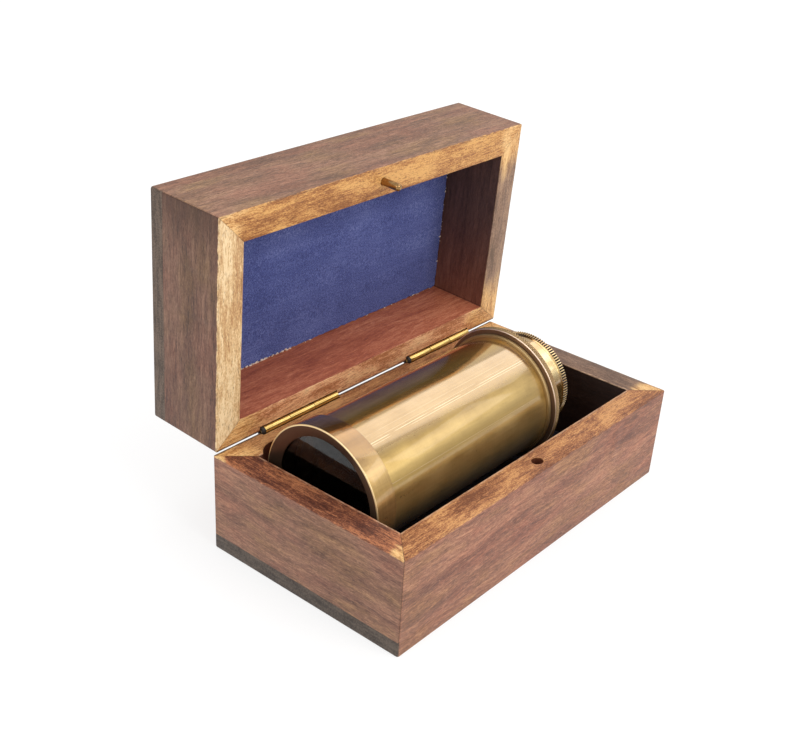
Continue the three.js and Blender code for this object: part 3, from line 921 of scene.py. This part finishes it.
def tube_piece():
    # Scratches with a painted glint along them.
    glinting_scratches = ((66, 0.25, 0.5), (29.5, 0.35, 0.6), (31.5, 0.3, 0.5), (27, 0.2, 0.4), (22, 0.2, 0.3))
    # Painted reflection bands: the tube's colour is made lighter and darker round its axis to stand for
    # what reflects in it.
    painted_bands = (
        (-40, 195, 184, 174), (-24, 250, 205, 155), (0, 255, 240, 205), (12, 195, 188, 205),
        (34, 193, 186, 200), (43, 188, 177, 150), (57, 232, 225, 208), (68, 206, 194, 160),
        (80, 255, 255, 255),
    )
    tones = (rgb(240, 210, 142), rgb(214, 182, 116))
    brass = brass_material("tube brass", *tones, 0.29, lines=glinting_scratches, round_it=painted_bands)
    inside = (TUBE_BORE, 0.1)
    outline = [
        (TUBE_FRONT, *inside), (TUBE_FRONT, TUBE_RADIUS, 0.2), (TUBE_BACK, TUBE_RADIUS, 0.25),
        (TUBE_BACK, *inside),
    ]
    tube = lathe("tube", outline, 320)
    scope_piece(tube, "kaleidoscope", ["main_tube"], brass)


def flange_piece():
    """The ring on the tube's end: a bead, a front face painted dark as shade, an arris with a painted
    highlight and a knurled rim.
    """
    worn_bead, shaded_face = rgb(176, 150, 104), rgb(118, 92, 78)
    lit_arris = rgb(255, 232, 214)
    tooth_top, tooth_root = rgb(150, 124, 92), rgb(74, 54, 40)
    # Painted shade on the front face and a painted highlight on the rim's front arris.
    faces = (
        (34.95, 25.2, 0.8, 0.7, worn_bead, 0.75),
        (36.0, 26.2, 0.12, 0.95, shaded_face, 0.9),
        (36.1, 27.5, 0.1, 0.1, lit_arris, 0.9),
        (37.6, 27.25, 1.1, 0.5, tooth_top, 0.7),
        (37.6, 26.75, 1.1, 0.4, tooth_root, 0.9),
    )
    tones = (rgb(226, 196, 146), rgb(196, 160, 104))
    brass = brass_material("turned brass", *tones, 0.27, turned=1.2, faces=faces)
    shoulder = TUBE_BACK + 0.05
    knurl_start, knurl_end = FLANGE_FRONT + 0.35, FLANGE_BACK - 0.3
    outline = [
        (FLANGE_INSIDE, THREAD_BORE, 0), (FLANGE_INSIDE, 23.2, 0.2), (shoulder, 23.2, 0),
        (shoulder, BEAD_RADIUS, 0.45), (FLANGE_FRONT - 0.3, BEAD_RADIUS, 0.3),
        (FLANGE_FRONT, BEAD_RADIUS - 0.4, 0), (FLANGE_FRONT, FLANGE_RADIUS - 0.24, 0.05),
        (FLANGE_FRONT + 0.2, FLANGE_RADIUS, 0.05),
        *[(knurl_start + 0.22 * k, FLANGE_RADIUS, 0) for k in range(10)],
        (knurl_end, FLANGE_RADIUS, 0), (FLANGE_BACK, FLANGE_RADIUS - 0.3, 0.2),
        (FLANGE_BACK, THREAD_BORE, 0.2),
    ]
    knurl = diamond_knurl(knurl_start, knurl_end, FLANGE_TEETH, 0.5)
    flange = lathe("flange_ring", outline, FLANGE_TEETH * 6, knurl)
    scope_piece(flange, "kaleidoscope", ["rear_flange_ring"], brass, 25)


def collar_piece():
    """The object cell's collar, whose front is dished towards the glass inside its arris. The dish is
    painted dark as shade, and the arris carries a painted highlight.
    """
    # Painted reflection bands round the collar's axis.
    painted_bands = (
        (-40, 225, 214, 200), (8, 215, 196, 184), (22, 170, 156, 148), (36, 182, 170, 160),
        (50, 238, 236, 228), (66, 222, 212, 180), (78, 255, 255, 255),
    )
    # Painted shade on the dish and a painted highlight on its arris.
    shaded_dish, lit_arris = rgb(118, 92, 78), rgb(255, 228, 176)
    faces = ((-67.4, 23.7, 0.95, 2.3, shaded_dish, 0.92), (-68.3, 26.35, 0.12, 0.3, lit_arris, 0.8))
    tones = (rgb(226, 190, 128), rgb(196, 158, 104))
    brass = brass_material("collar brass", *tones, 0.29, turned=1.0, faces=faces, round_it=painted_bands)
    outline = [
        (COLLAR_FRONT, COLLAR_RADIUS - 0.55, 0.05), (COLLAR_FRONT, COLLAR_RADIUS - 0.2, 0.1),
        (COLLAR_FRONT + 0.2, COLLAR_RADIUS, 0.1), (COLLAR_BACK - 0.1, COLLAR_RADIUS, 0.15),
        (COLLAR_BACK, COLLAR_RADIUS - 0.2, 0.1), (COLLAR_BACK, SEAT_RADIUS, 0.1),
        (COLLAR_SEAT, SEAT_RADIUS, 0), (COLLAR_SEAT, CELL_OPENING, 0.1),
        (COLLAR_SEAT - 0.6, CELL_OPENING, 0.1),
    ]
    collar = lathe("collar", outline, 320)
    scope_piece(collar, "object_cell", ["cell_collar"], brass)


def eyecap_piece():
    """The screwed-in eyecap, with a toothed rim and a dished end round the peep hole."""
    tooth_root = rgb(52, 34, 22)
    faces = ((54.2, 19.55, 1.4, 0.68, tooth_root, 1.0),)
    # Painted highlight: these bands round the axis and the cap's light tones put a bright highlight on
    # its upper front side.
    painted_bands = (
        (0, 196, 176, 140), (22, 206, 180, 138), (36, 255, 250, 240), (56, 255, 255, 250),
        (68, 176, 156, 118), (84, 206, 190, 158),
    )
    tones = (rgb(248, 222, 164), rgb(214, 180, 118))
    looks = {"turned": 1.2, "coat": 0.9, "faces": faces, "round_it": painted_bands}
    brass = brass_material("cap brass", *tones, 0.25, **looks)
    outline = [
        (CAP_INSIDE, CAP_BORE, 0.2), (CAP_INSIDE, 17.3, 0.3), (CAP_SHOULDER, 17.3, 0.2),
        (CAP_SHOULDER, 19.5, 0.1), (CAP_SHOULDER + 0.3, CAP_RADIUS, 0.1),
        (CAP_RIM - 0.6, CAP_RADIUS, 0.2), (CAP_RIM - 0.3, CAP_RADIUS - 0.2, 0.1),
        (CAP_RIM, CAP_RIM_RADIUS - 0.3, 0.1),
        *[(CAP_RIM + 0.3 + 0.3 * k, CAP_RIM_RADIUS, 0) for k in range(9)],
        (CAP_BACK, CAP_RADIUS, 0.25), (CAP_BACK, 17.4, 0.3),
        (CAP_BACK - 1.2, PEEP_RADIUS + 1.1, 0.4), (CAP_BACK - 1.6, PEEP_RADIUS, 0.2),
        (CAP_BACK - 4, PEEP_RADIUS, 0.1), (CAP_BACK - 4, CAP_BORE, 0.2),
    ]
    knurl = straight_knurl(CAP_RIM + 0.1, CAP_BACK - 0.1, CAP_TEETH, 0.55)
    eyecap = lathe("eye_cap", outline, CAP_TEETH * 7, knurl)
    scope_piece(eyecap, "eyecap", ["eyecap"], brass, 25)


def inner_pieces():
    """The cell's cup, the flat glasses and the plain rings inside the kaleidoscope."""
    # Painted shade: the brass inside the scope is made far darker than the brass outside.
    brass = brass_material("shaded inside brass", rgb(92, 66, 38), rgb(48, 34, 22), 0.45)
    glass = glass_material("cell glass", rgb(225, 232, 232))
    cup_outline = [
        (-63.6, 22.0, 0.1), (-63.6, TUBE_RADIUS, 0.1), (-62.9, TUBE_RADIUS, 0.1),
        (-62.9, 23.2, 0.1), (-54.2, 23.2, 0.1), (-54.2, 22.0, 0.1),
    ]
    cup = lathe("cup", cup_outline, 128)
    front = disc("front_glass", -65.9, -63.9, TUBE_RADIUS, 0.3, 160)
    inner = disc("inner_glass", -57.2, -55.7, 21.7, 0.2, 128)
    window = disc("window", 49.8, 51.3, 15.2, 0.2, 128)
    keeper = ring("keeper", 48.1, 49.5, 12.5, 15.2, (0.2, 0.2), 96)
    retainer = ring("retainer", -55.4, -54.4, 20, 21.7, (0.2, 0.2), 96)
    for piece, body, node in (
        (cup, "object_cell", "cell_cup"),
        (front, "object_cell", "cell_front_glass"),
        (inner, "object_cell", "cell_inner_glass"),
        (window, "eye_window", "eye_window"),
        (keeper, "eyecap", "eye_window_keeper"),
        (retainer, "object_cell", "cell_retaining_ring"),
    ):
        clear = piece in (front, inner, window)
        scope_piece(piece, body, [node], glass if clear else brass)


def glass_material(name, color):
    """Clear glass with faint smears."""
    m = Nodes(name)
    place = m.local()
    smear = m.noise(place, (0.3, 0.12, 0.3), 3, 0.6)
    return m.finish(
        Base_Color=color,
        Roughness=m.span(smear, 0.4, 0.7, 0.02, 0.08),
        Transmission_Weight=1.0,
        IOR=1.5,
    )


def plain_material(name, color, other, rough, metallic=0.0, scale=0.8):
    m = Nodes(name)
    place = m.local()
    grit = m.noise(place, (scale, scale, scale), 4, 0.6)
    return m.finish(
        Base_Color=m.ramp(grit, (0.35, color), (0.65, other)),
        Roughness=m.span(grit, 0.3, 0.7, rough, min(1, rough + 0.12)),
        Metallic=metallic,
        Normal=m.bump(grit, 0.3, 0.05),
    )


def kept_nodes():
    """CAD nodes whose shape is right keep it, with small bevels, and get their materials."""
    red, blue, amber, green = rgb(190, 40, 30), rgb(40, 100, 210), rgb(235, 165, 40), rgb(40, 150, 80)
    violet, pink, teal = rgb(140, 60, 180), rgb(220, 80, 130), rgb(30, 165, 165)
    colors = (red, blue, amber, green, violet, pink, teal)
    mirror = plain_material("mirror glass", rgb(222, 226, 230), rgb(205, 212, 218), 0.03, 1.0)
    card = plain_material("packing card", rgb(120, 92, 60), rgb(90, 66, 42), 0.85)
    brass = plain_material("nail brass", rgb(205, 168, 92), rgb(150, 112, 58), 0.3, 1.0, 1.5)
    for name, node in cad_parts.items():
        if node.hide_render:
            continue
        if name.startswith("glass_chip"):
            material = glass_material(name, colors[int(name[-1]) - 1])
        elif "packing" in name:
            material = card
        elif "mirror" in name:
            material = mirror
        elif "nail" in name or "pin" in name:
            material = brass
        else:
            continue
        node.data.materials.clear()
        node.data.materials.append(material)
        bevel = node.modifiers.new("eased", "BEVEL")
        bevel.width = 0.12 * MM
        bevel.segments = 2
        bevel.limit_method = "ANGLE"
        bevel.angle_limit = math.radians(40)


# ---- hinges and peg


def hinge_barrel(low, high, direction):
    """One knuckle about the X axis, and the web that joins it to its leaf."""
    barrel = ring("barrel", low, high, PIN_RADIUS + 0.08, BARREL_RADIUS, (0.05, 0.18), 48)
    barrel.data.transform(HINGE)
    inset = 0.02
    bottom, top = sorted((HINGE_Z + direction * 1.0, HINGE_Z + direction * 2.6))
    inner, outer = LEAF_Y + inset, LEAF_Y + LEAF_THICKNESS - inset
    outline = [(inner, bottom), (outer, bottom), (outer, top), (inner, top)]
    return [barrel, extrude("web", outline, low + inset, high - inset)]


def hinges():
    brass = brass_material("hinge brass", rgb(236, 204, 120), rgb(190, 150, 76), 0.2, turned=0.3)
    pitch = HINGE_LENGTH / KNUCKLES
    half_gap = 0.08
    outer_face = LEAF_Y + LEAF_THICKNESS
    for h, start in enumerate(HINGE_STARTS):
        for part, direction in (("base", -1), ("lid", 1)):
            base = part == "base"
            low, high = sorted((HINGE_Z + direction * 2.1, HINGE_Z + direction * LEAF_DEPTH))
            outer = [(outer_face, low, 0.12), (outer_face, high, 0.12)]
            outline = [(LEAF_Y, low, 0.1), *outer, (LEAF_Y, high, 0.1)]
            leaf = extrude(f"hinge_{h + 1}_{part}", eased(outline), start, start + HINGE_LENGTH)
            additions = []
            for i in range(0 if base else 1, KNUCKLES, 2):
                x0 = start + i * pitch + (half_gap if i else 0)
                x1 = start + (i + 1) * pitch - (half_gap if i < KNUCKLES - 1 else 0)
                additions += hinge_barrel(x0, x1, direction)
            boolean(leaf, additions, "UNION")
            body, turned = ("case", None) if base else ("lid", OPEN)
            complete(leaf, body, [f"hinge_{h + 1}_{part}_leaf"], brass, turned)


def pin_heads():
    """The head of each hinge's pin, sunk in the end of its mortise, painted near black as the shade
    there.
    """
    shade_black = plain_material("pin head painted shade", rgb(34, 24, 18), rgb(18, 12, 10), 0.5)
    pin, head_radius = PIN_RADIUS + 0.02, 1.75
    for h, start in enumerate(HINGE_STARTS):
        end, under = start - 1.6, start - 0.15
        outline = [(end, pin, 0.1), (end, head_radius, 0.2), (under, head_radius, 0.1), (under, pin, 0)]
        head = lathe(f"hinge_{h + 1}_pin_head", outline, 32)
        head.data.transform(HINGE)
        complete(head, "case", [], shade_black)


def peg():
    material = brass_material("peg brass", rgb(176, 134, 76), rgb(92, 62, 34), 0.24)
    outline = [
        (-PEG_SUNK, 0, 0), (-PEG_SUNK, PEG_RADIUS, 0.1), (PEG_PROUD - 0.9, PEG_RADIUS, 0.3),
        (PEG_PROUD - 0.25, 0.95, 0.4), (PEG_PROUD, 0, 0),
    ]
    piece = lathe("catch_peg", outline, 64)
    turned_at(piece, PEG_X - LID_SHIFT, PEG_Y, LID_RIM, 90, "Y")
    complete(piece, "lid", ["lid_peg"], material, LID_OPEN)


# ---- stage, light and camera


def stage():
    m = Nodes("floor paper")
    place = m.local()
    soft = m.noise(place, (0.002, 0.002, 0.002), 2)
    tones = m.ramp(soft, (0.3, rgb(152, 152, 152)), (0.7, rgb(156, 156, 156)))
    paper = m.finish(
        Base_Color=tones,
        Roughness=0.9,
        Specular_IOR_Level=0.1,
        Emission_Color=(1, 1, 1, 1),
        Emission_Strength=0.7,
    )
    half, under = 4000, -0.05
    corners = [(-half, -half, under), (half, -half, under), (half, half, under), (-half, half, under)]
    floor = mesh_object("floor", corners, [(0, 1, 2, 3)])
    floor.data.materials.append(paper)

    sky = Nodes("studio", bpy.data.worlds)
    height = sky.split(sky.node("ShaderNodeTexCoord").outputs["Generated"])[2]
    tones = sky.ramp(height, (0, (0.42, 0.42, 0.42, 1)), (0.45, (0.85, 0.85, 0.85, 1)))
    bpy.context.scene.world = sky.finish("Background", "OutputWorld", Color=tones, Strength=1.0)


def lights():
    """Soft boxes, as (name, place, size, watts), all turned to the middle of the case."""
    middle = Vector((0, 0, 0.05))
    boxes = (
        ("overhead", (1.35, -0.05, 1.55), (1.5, 1.5), 9),
        ("key", (1.2, -1.1, 0.85), (0.7, 0.5), 1.5),
        ("front", (0.1, -1.8, 1.2), (1.4, 1.0), 20),
        ("left", (-1.8, 0.2, 1.0), (1.2, 1.2), 10),
    )
    for name, place, size, watts in boxes:
        data = bpy.data.lights.new(name, "AREA")
        data.shape = "RECTANGLE"
        data.size, data.size_y = size
        data.energy = watts
        light = new_object(name, data)
        light.location = place
        light.rotation_euler = (middle - Vector(place)).to_track_quat("-Z", "Y").to_euler()


def camera():
    azimuth = math.radians(-51.895)
    rise = math.radians(30.239)
    roll = math.radians(4.015)
    flat = math.cos(rise)
    back = Vector((math.sin(azimuth) * flat, -math.cos(azimuth) * flat, math.sin(rise)))
    across = Vector((0, 0, 1)).cross(back).normalized()
    upright = back.cross(across)
    right = across * math.cos(roll) + upright * math.sin(roll)
    up = upright * math.cos(roll) - across * math.sin(roll)
    data = bpy.data.cameras.new("camera")
    data.sensor_width = 36
    data.lens = 54.71
    data.shift_x = -0.01637
    data.shift_y = 0.07935
    eye = new_object("camera", data)
    turn = Matrix((right, up, back)).transposed().to_4x4()
    eye.matrix_world = Matrix.Translation((-0.326058, -0.234275, 0.267978)) @ turn
    bpy.context.scene.camera = eye
    bpy.context.scene.view_settings.view_transform = "Standard"


case_walls()
case_boards()
linings()
hinges()
pin_heads()
peg()
tube_piece()
flange_piece()
eyecap_piece()
collar_piece()
inner_pieces()
kept_nodes()
stage()
lights()
camera()
